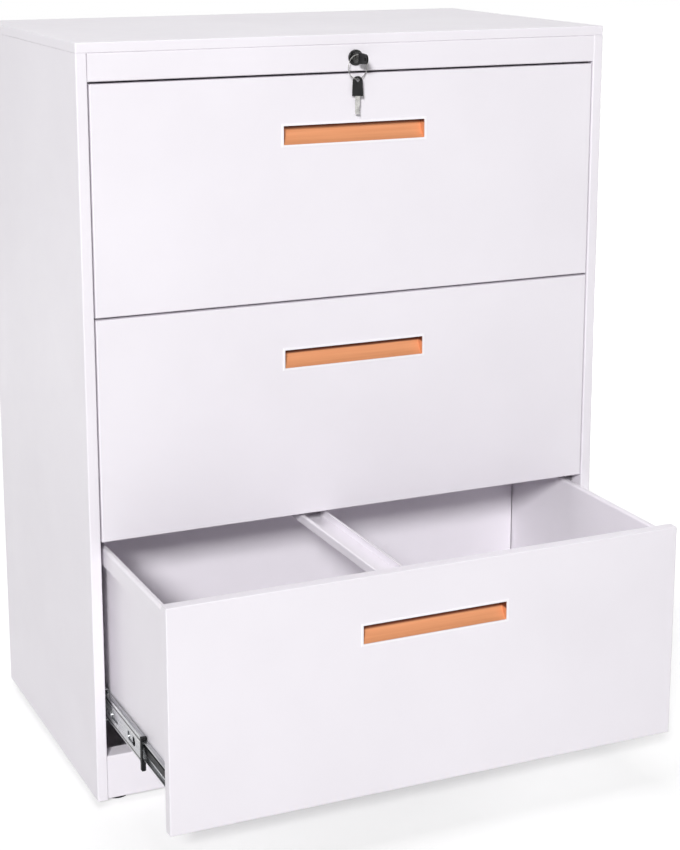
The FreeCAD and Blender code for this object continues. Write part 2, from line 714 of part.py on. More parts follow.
def inner_cage(number):
    """Balls between middle and inner member."""
    races = (INNER_HALF, MIDDLE_HALF - GAUGE)
    lip_face = MIDDLE_DEEP - GAUGE
    web_room = (MIDDLE_OFFSET + GAUGE, INNER_TIP)
    return ball_cage(number, web_room, races, lip_face, INNER_CAGE_START, INNER_CAGE_LENGTH)


# Lock and keys


def lock_housing():
    """Threaded barrel with its round bezel on the fascia."""
    barrel = rod(BARREL_RADIUS, V(0, FACE, LOCK_Z), BACKWARD * BARREL_LENGTH)
    bezel = rod(BEZEL_RADIUS, V(0, FACE, LOCK_Z), BACKWARD * -BEZEL_PROUD)
    front_edges = [edge for edge in bezel.Edges if edge.CenterOfMass.y < FACE - BEZEL_PROUD / 2]
    bezel = bezel.makeFillet(BEZEL_PROUD / 3, front_edges)
    depth = BACKWARD * (BEZEL_PROUD + BARREL_LENGTH)
    bore = rod(PLUG_RADIUS + PLUG_CLEARANCE, V(0, FACE - BEZEL_PROUD, LOCK_Z), depth)
    return joined(barrel, bezel).cut(bore).Solids[0]


def lock_nut():
    """Nut that holds the lock behind the fascia."""
    y = FACE + SHEET
    nut = hexagon(LOCK_NUT_FLATS, lambda p: V(p.x, y, LOCK_Z + p.y), BACKWARD * LOCK_NUT_HEIGHT)
    return nut.cut(rod(BARREL_RADIUS, V(0, y, LOCK_Z), BACKWARD * LOCK_NUT_HEIGHT)).Solids[0]


def lock_plug():
    """Turning core of the lock with its keyway."""
    plug = rod(PLUG_RADIUS, V(0, FACE - PLUG_PROUD, LOCK_Z), BACKWARD * (PLUG_PROUD + PLUG_LENGTH))
    x, z = BLADE_THICK / 2 + KEYWAY_CLEARANCE, BLADE_HEIGHT / 2 + KEYWAY_CLEARANCE
    depth = BOW_NECK - BLADE_LENGTH - KEYWAY_CLEARANCE
    keyway = block((-x, FACE - PLUG_PROUD, LOCK_Z - z), (x, FACE - depth, LOCK_Z + z))
    return plug.cut(keyway).Solids[0]


def bar_plane():
    """Front of the lock bar."""
    return BACK - SHEET - SHEET - BAR_CLEARANCE - BAR_THICK


def pin_rest():
    """Crank pin at rest, half a quarter turn over the horizontal, measured from the lock's axis."""
    reach = CRANK_RADIUS * math.sqrt(0.5)
    return V(reach, 0, reach)


def lock_shaft():
    """Long shaft from the lock to the back of the cabinet, with the crank that drives the lock bar."""
    start = V(0, FACE + PLUG_LENGTH, LOCK_Z)
    crank_y = BACK - SHEET - BRACKET_REACH + 2 * SHEET + CRANK_THICK
    axle = rod(SHAFT_RADIUS, start, BACKWARD * (crank_y + CRANK_THICK - start.y))
    hub = V(0, crank_y, LOCK_Z)
    out = unit(pin_rest())
    across = V(-out.z, 0, out.x)
    thick = BACKWARD * CRANK_THICK
    arm = slot(hub + pin_rest() / 2, CRANK_RADIUS + CRANK_WIDTH, CRANK_WIDTH, out, across, thick)
    pin_end = bar_plane() + BAR_THICK + BAR_CLEARANCE - PIN_END_GAP
    pin = rod(PIN_RADIUS, hub + pin_rest(), BACKWARD * (pin_end - crank_y))
    return joined(axle, arm, pin)


def hook_left():
    """Left edge of the hooks on the lock bar, which are centred on it."""
    return BAR_LEFT + (BAR_WIDTH - HOOK_WIDTH) / 2


def hook(number):
    """Arm over the drawer's back with a tongue over the slot in its catch flange."""
    catch = front_foot(number) + FRONT_HEIGHT - TRAY_DROP
    tip, left = BOX_BACK + CATCH_EDGE + CATCH_CLEARANCE, hook_left()
    tongue_foot = catch + HOOK_LIFT
    arm_foot = tongue_foot + HOOK_TONGUE
    arm = block((left, tip, arm_foot), (left + HOOK_WIDTH, bar_plane() + BAR_THICK, arm_foot + HOOK_THICK))
    tongue = block((left, tip, tongue_foot), (left + HOOK_WIDTH, tip + TONGUE_THICK, arm_foot + HOOK_THICK))
    return joined(arm, tongue)


def bar_foot():
    """Lower end of the lock bar."""
    return front_foot(0) + FRONT_HEIGHT - TRAY_DROP - BAR_FOOT


def lock_bar():
    """Upright bar on the back panel that hooks every drawer, lowered by the crank pin in its slot."""
    y = bar_plane()
    bar = block((BAR_LEFT, y, bar_foot()), (BAR_LEFT + BAR_WIDTH, y + BAR_THICK, LOCK_Z + BAR_TOP))
    room = PIN_RADIUS + PIN_CLEARANCE
    pin = pin_rest()
    z = LOCK_Z + pin.z
    window = block((pin.x - room, y, z - room), (CRANK_RADIUS + room, y + BAR_THICK, z + room))
    return joined(bar, *(hook(number) for number in range(len(DRAWERS)))).cut(window).Solids[0]


def lock_channel():
    """Guide of the lock bar on the back panel, with the bearing of the long shaft at its head."""
    back = BACK - SHEET
    left, right = BAR_LEFT - BAR_CLEARANCE - SHEET, BAR_LEFT + BAR_WIDTH + BAR_CLEARANCE + SHEET
    lips = bar_plane() - BAR_CLEARANCE - SHEET
    path = [(left + SHEET + CHANNEL_LIP, lips), (left, lips), (left, back), (right, back), (right, lips)]
    path.append((right - SHEET - CHANNEL_LIP, lips))
    foot = bar_foot() + HOOK_TONGUE
    head = LOCK_Z - BRACKET_HALF
    mirror_path = path[::-1]
    guide = folded(mirror_path, SHEET, 0.0, in_plan(foot), UP * (head - foot))
    face = back - BRACKET_REACH
    box = block((left, face, head), (right, back, LOCK_Z + BRACKET_HALF))
    room = block((left + SHEET, face + SHEET, head), (right - SHEET, back - SHEET, LOCK_Z + BRACKET_HALF))
    bearing = rod(SHAFT_RADIUS + SHAFT_CLEARANCE, V(0, face, LOCK_Z), BACKWARD * SHEET)
    return joined(guide, box.cut(room)).cut(bearing).Solids[0]


def key_bow():
    """Plastic grip of a key, upright in the YZ plane: blade end at the origin, round end towards -Y."""
    wide, narrow = BOW_WIDTH / 2, BOW_WIDTH / 2 - BOW_TAPER
    shoulder = -(BOW_LENGTH - narrow)
    edges = [
        Part.makeLine(V(0, 0, -wide), V(0, 0, wide)),
        Part.makeLine(V(0, 0, wide), V(0, shoulder, narrow)),
        Part.Arc(V(0, shoulder, narrow), V(0, -BOW_LENGTH, 0), V(0, shoulder, -narrow)).toShape(),
        Part.makeLine(V(0, shoulder, -narrow), V(0, 0, -wide)),
    ]
    face = Part.Face(Part.Wire(edges))
    face.translate(ACROSS * -(BOW_THICK / 2))
    bow = face.extrude(ACROSS * BOW_THICK)
    hole = rod(BOW_HOLE, V(-BOW_THICK / 2, -(BOW_LENGTH - BOW_HOLE_INSET), 0), ACROSS * BOW_THICK)
    x, z = BLADE_THICK / 2, BLADE_HEIGHT / 2
    socket = block((-x, -SOCKET_DEPTH, -z), (x, 0, z))
    return bow.cut(hole.fuse(socket)).Solids[0]


def key_blade():
    """Steel blade of a key with its notches, in the YZ plane, running to +Y from inside the grip."""
    x, z = BLADE_THICK / 2, BLADE_HEIGHT / 2
    blade = block((-x, -SOCKET_DEPTH, -z), (x, BLADE_LENGTH, z))
    notches = []
    for k in range(NOTCH_COUNT):
        y = BLADE_LENGTH - (2 * k + 2) * NOTCH
        corners = [V(-x, y - NOTCH, -z), V(-x, y, NOTCH - z), V(-x, y + NOTCH, -z)]
        notches.append(Part.Face(Part.makePolygon(corners + corners[:1])).extrude(ACROSS * BLADE_THICK))
    return blade.cut(Part.makeCompound(notches)).Solids[0]


def ring_top():
    """Centre of the ring's wire where it hangs over the neck of the key in the lock."""
    return V(0, FACE - RING_OUT, LOCK_Z + BLADE_HEIGHT / 2 + RING_CLEARANCE + WIRE_RADIUS)


def key_ring():
    """Wire ring round the neck of the key in the lock."""
    angle = math.radians(RING_TURN)
    normal = V(math.sin(angle), -math.cos(angle), 0)
    return Part.makeTorus(RING_RADIUS, WIRE_RADIUS, ring_top() - UP * RING_RADIUS, normal)


def spare_key(shape):
    """Turns a key piece so that it hangs from the ring by the hole in its grip."""
    hung = shape.copy()
    hung.rotate(V(0, 0, 0), ACROSS, -90)
    hung.rotate(V(0, 0, 0), UP, 90 - SPARE_TURN)
    hole = ring_top() - UP * (2 * RING_RADIUS + WIRE_IN_HOLE)
    hung.translate(hole - UP * (BOW_LENGTH - BOW_HOLE_INSET))
    return hung


def in_lock(shape):
    """Moves a key piece into the lock."""
    seated = shape.copy()
    seated.translate(V(0, FACE - BOW_NECK, LOCK_Z))
    return seated


# The assembly


def carcass():
    """Fixed pieces of the cabinet by name."""
    front = FACE + STILE_RETURN + UPRIGHT_GAP
    rear = BACK - REAR_UPRIGHT - UPRIGHT_WIDTH
    left = side_panel()
    return {
        "left_side_panel": left,
        "right_side_panel": mirrored(left),
        "back_panel": back_panel(),
        "lid": lid(),
        "base_pan": base_pan(),
        "top_rail": top_rail(),
        "plinth_rail": plinth_rail(),
        "front_uprights": both_sides(upright(front)),
        "rear_uprights": both_sides(upright(rear)),
        "lock_housing": lock_housing(),
        "lock_nut": lock_nut(),
        "lock_channel": lock_channel(),
    }


def lock_parts():
    """Moving pieces of the lock and the keys by name."""
    bow, blade = key_bow(), key_blade()
    return {
        "lock_plug": lock_plug(),
        "lock_shaft": lock_shaft(),
        "lock_bar": lock_bar(),
        "key_bow": in_lock(bow),
        "key_blade": in_lock(blade),
        "key_ring": key_ring(),
        "spare_key_bow": spare_key(bow),
        "spare_key_blade": spare_key(blade),
    }


def drawer(number, name):
    """Pieces of one drawer and its slides by name, moved to where they stand at rest."""
    opening = OPEN_AT_REST if number == 0 else 0.0
    side = drawer_side(number)
    outer_share, inner_share = MIDDLE_SHARE / 2, (1 + MIDDLE_SHARE) / 2
    travels = {
        "drawer_front": (drawer_front(number), 1),
        "drawer_tray": (drawer_tray(number), 1),
        "drawer_left_side": (side, 1),
        "drawer_right_side": (mirrored(side), 1),
        "handle_cup": (handle_cup(number), 1),
        "file_rail": (file_rail(number), 1),
        "slide_outers": (both_sides(outer_member(number)), 0),
        "slide_middles": (both_sides(middle_member(number), slide_stop(number)), MIDDLE_SHARE),
        "slide_inners": (both_sides(inner_member(number)), 1),
        "outer_ball_cages": (both_sides(outer_cage(number)), outer_share),
        "inner_ball_cages": (both_sides(inner_cage(number)), inner_share),
        "release_levers": (both_sides(release_lever(number)), 1),
    }
    pieces = {}
    for piece, (shape, share) in travels.items():
        shape.translate(BACKWARD * -(opening * share))
        pieces[f"{name}_{piece}"] = shape
    return pieces


nodes = {**carcass(), **lock_parts()}
for place, x, y in foot_places():
    nodes[f"{place}_foot"] = screw_foot(x, y)
for number, name in enumerate(DRAWERS):
    nodes.update(drawer(number, name))

os.makedirs("parts", exist_ok=True)
for name, shape in nodes.items():
    shape.exportStep(f"parts/{name}.step")
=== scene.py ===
from math import radians

import bmesh
import bpy
import numpy as np
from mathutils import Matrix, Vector


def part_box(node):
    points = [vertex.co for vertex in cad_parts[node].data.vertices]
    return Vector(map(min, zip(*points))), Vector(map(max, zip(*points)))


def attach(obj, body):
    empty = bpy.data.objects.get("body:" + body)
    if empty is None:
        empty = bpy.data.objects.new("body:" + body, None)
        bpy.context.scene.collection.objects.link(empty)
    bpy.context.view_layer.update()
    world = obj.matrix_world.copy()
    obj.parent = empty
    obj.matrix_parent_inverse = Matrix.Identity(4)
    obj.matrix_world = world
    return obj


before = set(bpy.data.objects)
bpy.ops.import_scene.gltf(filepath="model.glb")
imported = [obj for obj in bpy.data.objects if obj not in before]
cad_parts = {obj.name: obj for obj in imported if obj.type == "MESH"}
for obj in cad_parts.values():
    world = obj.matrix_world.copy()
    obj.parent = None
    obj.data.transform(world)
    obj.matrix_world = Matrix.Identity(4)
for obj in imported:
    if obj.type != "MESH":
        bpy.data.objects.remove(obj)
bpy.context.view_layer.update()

# Carcass: sides, back, lid, base, rails and slotted uprights, folded from 1 mm steel sheet.
# The sheets are spot welded, then powder coated in one warm white film with a fine orange peel.
WHITE_LOW = (0.850, 0.817, 0.866, 1.0)
WHITE_HIGH = (0.876, 0.843, 0.893, 1.0)
FILM_SCALE = 5.0
SATIN_SCALE = 38.0
SATIN = (0.38, 0.48)
PEEL_SCALE = 620.0
PEEL_STRENGTH = 0.5
PEEL_DEPTH = 0.00004
NOISE_SPAN = (0.3, 0.7)


def plain_material(name):
    """A node material with its tree and its surface shader."""
    material = bpy.data.materials.new(name)
    material.use_nodes = True
    return material, material.node_tree, material.node_tree.nodes["Principled BSDF"]


def noise(tree, scale, detail, stretch=(1.0, 1.0, 1.0)):
    """Noise on Object coordinates, in cycles per metre, stretched by a factor along each axis."""
    place = tree.nodes.new("ShaderNodeTexCoord")
    mapping = tree.nodes.new("ShaderNodeMapping")
    mapping.inputs["Scale"].default_value = stretch
    texture = tree.nodes.new("ShaderNodeTexNoise")
    texture.inputs["Scale"].default_value = scale
    texture.inputs["Detail"].default_value = detail
    tree.links.new(place.outputs["Object"], mapping.inputs["Vector"])
    tree.links.new(mapping.outputs["Vector"], texture.inputs["Vector"])
    return texture.outputs["Fac"]


def tint(tree, shader, pattern, low, high, ends=(0.35, 0.65)):
    """Base colour that goes from low to high where the pattern goes between its two ends."""
    ramp = tree.nodes.new("ShaderNodeValToRGB")
    for element, place, colour in zip(ramp.color_ramp.elements, ends, (low, high)):
        element.position = place
        element.color = colour
    tree.links.new(pattern, ramp.inputs["Fac"])
    tree.links.new(ramp.outputs["Color"], shader.inputs["Base Color"])


def gloss(tree, shader, pattern, low, high):
    """Roughness that goes from low to high as the pattern crosses the usual span of noise."""
    spread = tree.nodes.new("ShaderNodeMapRange")
    spread.inputs["From Min"].default_value = NOISE_SPAN[0]
    spread.inputs["From Max"].default_value = NOISE_SPAN[1]
    spread.inputs["To Min"].default_value = low
    spread.inputs["To Max"].default_value = high
    tree.links.new(pattern, spread.inputs["Value"])
    tree.links.new(spread.outputs["Result"], shader.inputs["Roughness"])


def relief(tree, shader, pattern, strength, depth):
    """Bump of a depth in metres that follows the pattern."""
    bump = tree.nodes.new("ShaderNodeBump")
    bump.inputs["Strength"].default_value = strength
    bump.inputs["Distance"].default_value = depth
    tree.links.new(pattern, bump.inputs["Height"])
    tree.links.new(bump.outputs["Normal"], shader.inputs["Normal"])


def powder_coat(name, low, high):
    """Satin paint film: faintly uneven colour, soft gloss changes and a fine orange peel."""
    material, tree, shader = plain_material(name)
    tint(tree, shader, noise(tree, FILM_SCALE, 3.0), low, high)
    gloss(tree, shader, noise(tree, SATIN_SCALE, 2.0), *SATIN)
    relief(tree, shader, noise(tree, PEEL_SCALE, 2.0), PEEL_STRENGTH, PEEL_DEPTH)
    return material


def finish_nodes(material, *names):
    """Gives CAD nodes one material."""
    for name in names:
        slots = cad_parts[name].data.materials
        slots.clear()
        slots.append(material)


white_paint = powder_coat("white_powder_coat", WHITE_LOW, WHITE_HIGH)
finish_nodes(
    white_paint,
    "left_side_panel",
    "right_side_panel",
    "back_panel",
    "lid",
    "base_pan",
    "top_rail",
    "plinth_rail",
    "front_uprights",
    "rear_uprights",
)

# Blind rivets: domed heads along both rear edges of the back panel, set before painting.
# They draw the back panel onto the rear flanges of the sides and carry the same white film.
RIVET_RADIUS = 0.0032
RIVET_RISE = 0.0011
RIVET_INSET = 0.0105
RIVET_END = 0.06
RIVET_COUNT = 7
DOME_STEPS = 7
ROUND_STEPS = 24


def turned_grid(radii, heights):
    """Grid of rows and angles: each row is a circle of its radius at its height along Z."""
    angle = np.linspace(0.0, 2.0 * np.pi, ROUND_STEPS, endpoint=False)
    rings = np.asarray(radii)[:, None] * np.stack([np.cos(angle), np.sin(angle)])[:, None, :]
    rise = np.broadcast_to(np.asarray(heights)[:, None], rings.shape[1:])
    return np.stack([rings[0], rings[1], rise], axis=-1)


def copies_mesh(name, grid, axes, centres, material):
    """Copies of one closed grid: its X, Y and Z lie along the axes, and each copy starts at a centre."""
    rows, columns = grid.shape[:2]
    one = grid.reshape(-1, 3) @ np.asarray(axes)
    points = (one[None] + np.asarray(centres)[:, None]).reshape(-1, 3)
    row, column = np.meshgrid(np.arange(rows - 1), np.arange(columns), indexing="ij")
    after = (column + 1) % columns
    quads = np.stack([row * columns + column, row * columns + after], axis=-1)
    quads = np.concatenate([quads, quads[..., ::-1] + columns], axis=-1).reshape(-1, 4)
    faces = (quads[None] + (np.arange(len(centres)) * rows * columns)[:, None, None]).reshape(-1, 4)
    mesh = bpy.data.meshes.new(name)
    mesh.from_pydata(points.tolist(), [], faces.tolist())
    shell = bmesh.new()
    shell.from_mesh(mesh)
    bmesh.ops.remove_doubles(shell, verts=shell.verts, dist=1e-6)
    bmesh.ops.dissolve_degenerate(shell, edges=shell.edges, dist=1e-7)
    bmesh.ops.recalc_face_normals(shell, faces=shell.faces)
    shell.to_mesh(mesh)
    shell.free()
    mesh.shade_smooth()
    mesh.materials.append(material)
    piece = bpy.data.objects.new(name, mesh)
    bpy.context.scene.collection.objects.link(piece)
    return piece


low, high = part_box("back_panel")
slope = np.linspace(0.0, np.pi / 2, DOME_STEPS)
dome = turned_grid(
    np.append(RIVET_RADIUS * np.sin(slope), 0.0),
    np.append(RIVET_RISE * np.cos(slope), 0.0),
)
levels = np.linspace(low.z + RIVET_END, high.z - RIVET_END, RIVET_COUNT)
sides = (low.x + RIVET_INSET, high.x - RIVET_INSET)
centres = [(x, high.y, z) for x in sides for z in levels]
back_rivets = copies_mesh(
    "back_rivets", dome, [(1, 0, 0), (0, 0, -1), (0, 1, 0)], centres, white_paint
)
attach(back_rivets, "cabinet")

# Screw feet: a moulded black glide pressed onto a zinc-plated screw in each corner of the base.
# The glide turns by hand to level the cabinet.
BLACK_LOW = (0.008, 0.008, 0.009, 1.0)
BLACK_HIGH = (0.015, 0.015, 0.016, 1.0)
BLACK_SHEEN = 0.12
BLACK_SATIN = (0.34, 0.46)
MOULD_GRAIN_SCALE = 2600.0
MOULD_GRAIN_DEPTH = 0.00003
ZINC_LOW = (0.40, 0.41, 0.43, 1.0)
ZINC_HIGH = (0.56, 0.565, 0.57, 1.0)
ZINC_GLOSS = (0.2, 0.36)
COLOUR_STREAK = (6.0, 0.25, 6.0)
GLOSS_STREAK = (5.0, 0.2, 5.0)
DRAWN_STREAK = (4.0, 0.1, 4.0)
DRAWN_DEPTH = 0.00002
GLIDE_HEIGHT = 0.007
EDGE_SLACK = 1e-5


def moulded_black(name):
    """Black moulded plastic: near-even colour, satin gloss and a fine spark-eroded grain."""
    material, tree, shader = plain_material(name)
    shader.inputs["Specular IOR Level"].default_value = BLACK_SHEEN
    tint(tree, shader, noise(tree, 90.0, 3.0), BLACK_LOW, BLACK_HIGH)
    gloss(tree, shader, noise(tree, 160.0, 2.0), *BLACK_SATIN)
    relief(tree, shader, noise(tree, MOULD_GRAIN_SCALE, 1.0), 0.35, MOULD_GRAIN_DEPTH)
    return material


def zinc_plate(name):
    """Bright zinc on drawn steel: streaks that run along the slide, front to back."""
    material, tree, shader = plain_material(name)
    shader.inputs["Metallic"].default_value = 1.0
    tint(tree, shader, noise(tree, 55.0, 4.0, COLOUR_STREAK), ZINC_LOW, ZINC_HIGH)
    gloss(tree, shader, noise(tree, 120.0, 3.0, GLOSS_STREAK), *ZINC_GLOSS)
    relief(tree, shader, noise(tree, 420.0, 2.0, DRAWN_STREAK), 0.25, DRAWN_DEPTH)
    return material


def paint_faces(node, material, chosen):
    """Gives a second material to the faces of a CAD node whose centres are chosen."""
    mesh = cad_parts[node].data
    centres = np.empty(len(mesh.polygons) * 3)
    mesh.polygons.foreach_get("center", centres)
    picks = chosen(centres.reshape(-1, 3)).astype(np.int32)
    mesh.materials.append(material)
    mesh.polygons.foreach_set("material_index", picks)


black_plastic = moulded_black("black_plastic")
zinc_steel = zinc_plate("zinc_steel")
for corner in ("front_left", "front_right", "rear_left", "rear_right"):
    foot = f"{corner}_foot"
    finish_nodes(black_plastic, foot)
    paint_faces(foot, zinc_steel, lambda centres: centres[:, 2] > GLIDE_HEIGHT + EDGE_SLACK)

# Lock works: zinc-plated nut, long shaft with its crank, hook bar and guide channel inside the cabinet.
# The round housing is black-finished metal, and its turning core has a dark nickel plate.
NICKEL_LOW = (0.27, 0.266, 0.26, 1.0)
NICKEL_HIGH = (0.40, 0.394, 0.382, 1.0)
DARK_NICKEL_LOW = (0.055, 0.055, 0.056, 1.0)
DARK_NICKEL_HIGH = (0.12, 0.12, 0.12, 1.0)
NICKEL_GLOSS = (0.18, 0.34)
SCRATCH_STREAK = (1.0, 1.0, 0.15)
BLACKENED_LOW = (0.010, 0.010, 0.011, 1.0)
BLACKENED_HIGH = (0.022, 0.022, 0.023, 1.0)
BLACKENED_METAL = 0.35
BLACKENED_GLOSS = (0.22, 0.34)


def nickel_plate(name, low, high):
    """Nickel-plated steel or brass: fine handling scratches in the gloss."""
    material, tree, shader = plain_material(name)
    shader.inputs["Metallic"].default_value = 1.0
    tint(tree, shader, noise(tree, 140.0, 3.0), low, high)
    gloss(tree, shader, noise(tree, 900.0, 3.0, SCRATCH_STREAK), *NICKEL_GLOSS)
    return material


def black_finish(name):
    """Blackened metal: darker and glossier than moulded plastic, with faint turning marks."""
    material, tree, shader = plain_material(name)
    shader.inputs["Metallic"].default_value = BLACKENED_METAL
    tint(tree, shader, noise(tree, 200.0, 2.0), BLACKENED_LOW, BLACKENED_HIGH)
    gloss(tree, shader, noise(tree, 700.0, 2.0), *BLACKENED_GLOSS)
    return material


finish_nodes(zinc_steel, "lock_nut", "lock_channel", "lock_shaft", "lock_bar")
finish_nodes(black_finish("black_lock_metal"), "lock_housing")
finish_nodes(nickel_plate("dark_nickel", DARK_NICKEL_LOW, DARK_NICKEL_HIGH), "lock_plug")

# Keys: stamped blades with moulded black grips, one in the lock and a spare one that hangs from it.
# The blades and the wire ring that holds the spare are nickel plated.
nickel = nickel_plate("nickel_plate", NICKEL_LOW, NICKEL_HIGH)
finish_nodes(nickel, "key_blade", "spare_key_blade", "key_ring")
finish_nodes(black_plastic, "key_bow", "spare_key_bow")

# Drawers: folded fronts, inner trays and rolled sides in the same white powder coat as the carcass.
# A channel for hanging files lies across each drawer from front to back.
# The rim pressed up round each handle opening is painted a brighter white, a painted highlight along its
# rounded edge.
DRAWERS = ("bottom", "middle", "top")
RIM_HIGHLIGHT_LOW = (0.925, 0.905, 0.938, 1.0)
RIM_HIGHLIGHT_HIGH = (0.945, 0.925, 0.958, 1.0)
RIM_DEEP = 0.0005
rim_highlight_paint = powder_coat("white_rim_highlight", RIM_HIGHLIGHT_LOW, RIM_HIGHLIGHT_HIGH)
for drawer in DRAWERS:
    front = f"{drawer}_drawer_front"
    finish_nodes(
        white_paint,
        front,
        f"{drawer}_drawer_tray",
        f"{drawer}_drawer_left_side",
        f"{drawer}_drawer_right_side",
        f"{drawer}_file_rail",
    )
    rim_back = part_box(front)[0].y + RIM_DEEP
    # The rim faces get the brighter white of the painted highlight.
    paint_faces(front, rim_highlight_paint, lambda centres, y=rim_back: centres[:, 1] < y)

# Handle cups: moulded orange plastic, held by a flange behind the opening of each drawer front.
# The mould leaves a faint grain along the cup, and painted shade darkens the grip under its upper edge,
# standing for the shadow that edge casts.
# The lower a drawer stands, the deeper the painted shade reaches.
ORANGE_LOW = (0.755, 0.318, 0.150, 1.0)
ORANGE_HIGH = (0.815, 0.362, 0.178, 1.0)
# Colour of the painted shade that darkens the grip under the upper edge of the opening.
GRIP_SHADE = (0.150, 0.036, 0.014, 1.0)
GRIP_SHADE_DEPTHS = {"bottom": 0.0114, "middle": 0.0086, "top": 0.0058}
GRIP_SHADE_FADE = 0.0026
CUP_FLANGE = 0.006
CUP_SHEEN = 0.25
CUP_SATIN = (0.42, 0.55)
CUP_GRAIN = (0.03, 1.0, 1.6)
CUP_GRAIN_DEPTH = 0.00006


def height_above_floor(tree):
    """Object Z, which is the height above the floor in metres."""
    place = tree.nodes.new("ShaderNodeTexCoord")
    parts = tree.nodes.new("ShaderNodeSeparateXYZ")
    tree.links.new(place.outputs["Object"], parts.inputs["Vector"])
    return parts.outputs["Z"]


def paint_shade(tree, shader, value, unshaded, full, colour):
    """Base colour that goes over to a painted shade colour as the value goes from the first level to the
    second.
    """
    shading = tree.nodes.new("ShaderNodeMapRange")
    shading.inputs["From Min"].default_value = unshaded
    shading.inputs["From Max"].default_value = full
    mix = tree.nodes.new("ShaderNodeMix")
    mix.data_type = "RGBA"
    mix.inputs["B"].default_value = colour
    tree.links.new(value, shading.inputs["Value"])
    tree.links.new(shading.outputs["Result"], mix.inputs["Factor"])
    tree.links.new(shader.inputs["Base Color"].links[0].from_socket, mix.inputs["A"])
    tree.links.new(mix.outputs["Result"], shader.inputs["Base Color"])


def moulded_orange(name, edge, shade_depth):
    """Orange plastic with a grain along the cup, and painted shade where it comes up to the level of the
    edge.
    """
    material, tree, shader = plain_material(name)
    shader.inputs["Specular IOR Level"].default_value = CUP_SHEEN
    grain = noise(tree, 260.0, 3.0, CUP_GRAIN)
    tint(tree, shader, grain, ORANGE_LOW, ORANGE_HIGH, (0.3, 0.7))
    gloss(tree, shader, noise(tree, 90.0, 2.0), *CUP_SATIN)
    relief(tree, shader, grain, 0.3, CUP_GRAIN_DEPTH)
    # Painted shade: the cup goes dark near the upper edge of the opening, deeper for lower drawers.
    unshaded = edge - shade_depth
    paint_shade(tree, shader, height_above_floor(tree), unshaded, unshaded + GRIP_SHADE_FADE, GRIP_SHADE)
    return material


for drawer in DRAWERS:
    cup = f"{drawer}_handle_cup"
    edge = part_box(cup)[1].z - CUP_FLANGE
    finish_nodes(moulded_orange(f"{drawer}_orange_plastic", edge, GRIP_SHADE_DEPTHS[drawer]), cup)

# Slides: three drawn zinc-plated members with ball cages, and moulded black stops and release levers.
# The stops are solids of the middle members' node, in front of the steel.
# Two dark lines of painted shade on the middle members stand for the shadowed grooves along the ball
# tracks.
STOP_THICK = 0.0048
# Colour and place of the two painted shade lines on the middle members.
GROOVE_SHADE = (0.018, 0.017, 0.016, 1.0)
GROOVE_SHADE_OFFSET = 0.0130
GROOVE_SHADE_EDGE = 0.0016
GROOVE_SHADE_CORE = 0.0009


def shaded_zinc(name, level):
    """Zinc plate with painted shade where the distance above or below the level comes near that of the
    line.
    """
    material = zinc_plate(name)
    tree = material.node_tree
    distance = height_above_floor(tree)
    for middle in (level, GROOVE_SHADE_OFFSET):
        less = tree.nodes.new("ShaderNodeMath")
        less.operation = "SUBTRACT"
        less.inputs[1].default_value = middle
        size = tree.nodes.new("ShaderNodeMath")
        size.operation = "ABSOLUTE"
        tree.links.new(distance, less.inputs[0])
        tree.links.new(less.outputs["Value"], size.inputs[0])
        distance = size.outputs["Value"]
    shader = tree.nodes["Principled BSDF"]
    paint_shade(tree, shader, distance, GROOVE_SHADE_EDGE, GROOVE_SHADE_CORE, GROOVE_SHADE)
    return material


for drawer in DRAWERS:
    finish_nodes(
        zinc_steel,
        f"{drawer}_slide_outers",
        f"{drawer}_slide_inners",
        f"{drawer}_outer_ball_cages",
        f"{drawer}_inner_ball_cages",
    )
    finish_nodes(black_plastic, f"{drawer}_release_levers")
    middles = f"{drawer}_slide_middles"
    low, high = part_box(f"{drawer}_slide_outers")
    # The middle members get zinc with two painted shade lines along the ball tracks.
    finish_nodes(shaded_zinc(f"{drawer}_shaded_zinc", (low.z + high.z) / 2), middles)
    steel_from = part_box(middles)[0].y + STOP_THICK - EDGE_SLACK
    paint_faces(middles, black_plastic, lambda centres, y=steel_from: centres[:, 1] < y)

# Slide screws: pan heads with a cross recess that fix each inner member to its drawer side.
# They are zinc-plated steel, three on a slide, and stand in the channel behind the release lever.
HEAD_RADIUS = 0.0040
HEAD_RISE = 0.0020
HEAD_STEPS = 14
HEAD_ROUNDING = 0.7
RECESS_WIDTH = 0.0006
RECESS_REACH = 0.0024
RECESS_DEPTH = 0.0011
SCREW_PLACES = (0.125, 0.250, 0.375)
WEB = 0.0012


def pan_head():
    """Domed disc, lowered by a smooth cross near its middle, over a flat foot."""
    share = np.append(np.linspace(0.0, 1.0, HEAD_STEPS), [1.0, 0.0])
    dome_rise = HEAD_RISE * np.sqrt(np.clip(1.0 - share**2, 0.0, 1.0)) ** HEAD_ROUNDING
    dome_rise[-2:] = 0.0
    head = turned_grid(HEAD_RADIUS * share, dome_rise)
    x, y = np.abs(head[..., 0]), np.abs(head[..., 1])
    arm = np.clip((RECESS_WIDTH - np.minimum(x, y)) / RECESS_WIDTH, 0.0, 1.0)
    reach = np.clip((RECESS_REACH - np.maximum(x, y)) / (RECESS_REACH / 3), 0.0, 1.0)
    lowered = RECESS_DEPTH * arm * reach
    lowered[-2:] = 0.0
    head[..., 2] -= lowered
    return head


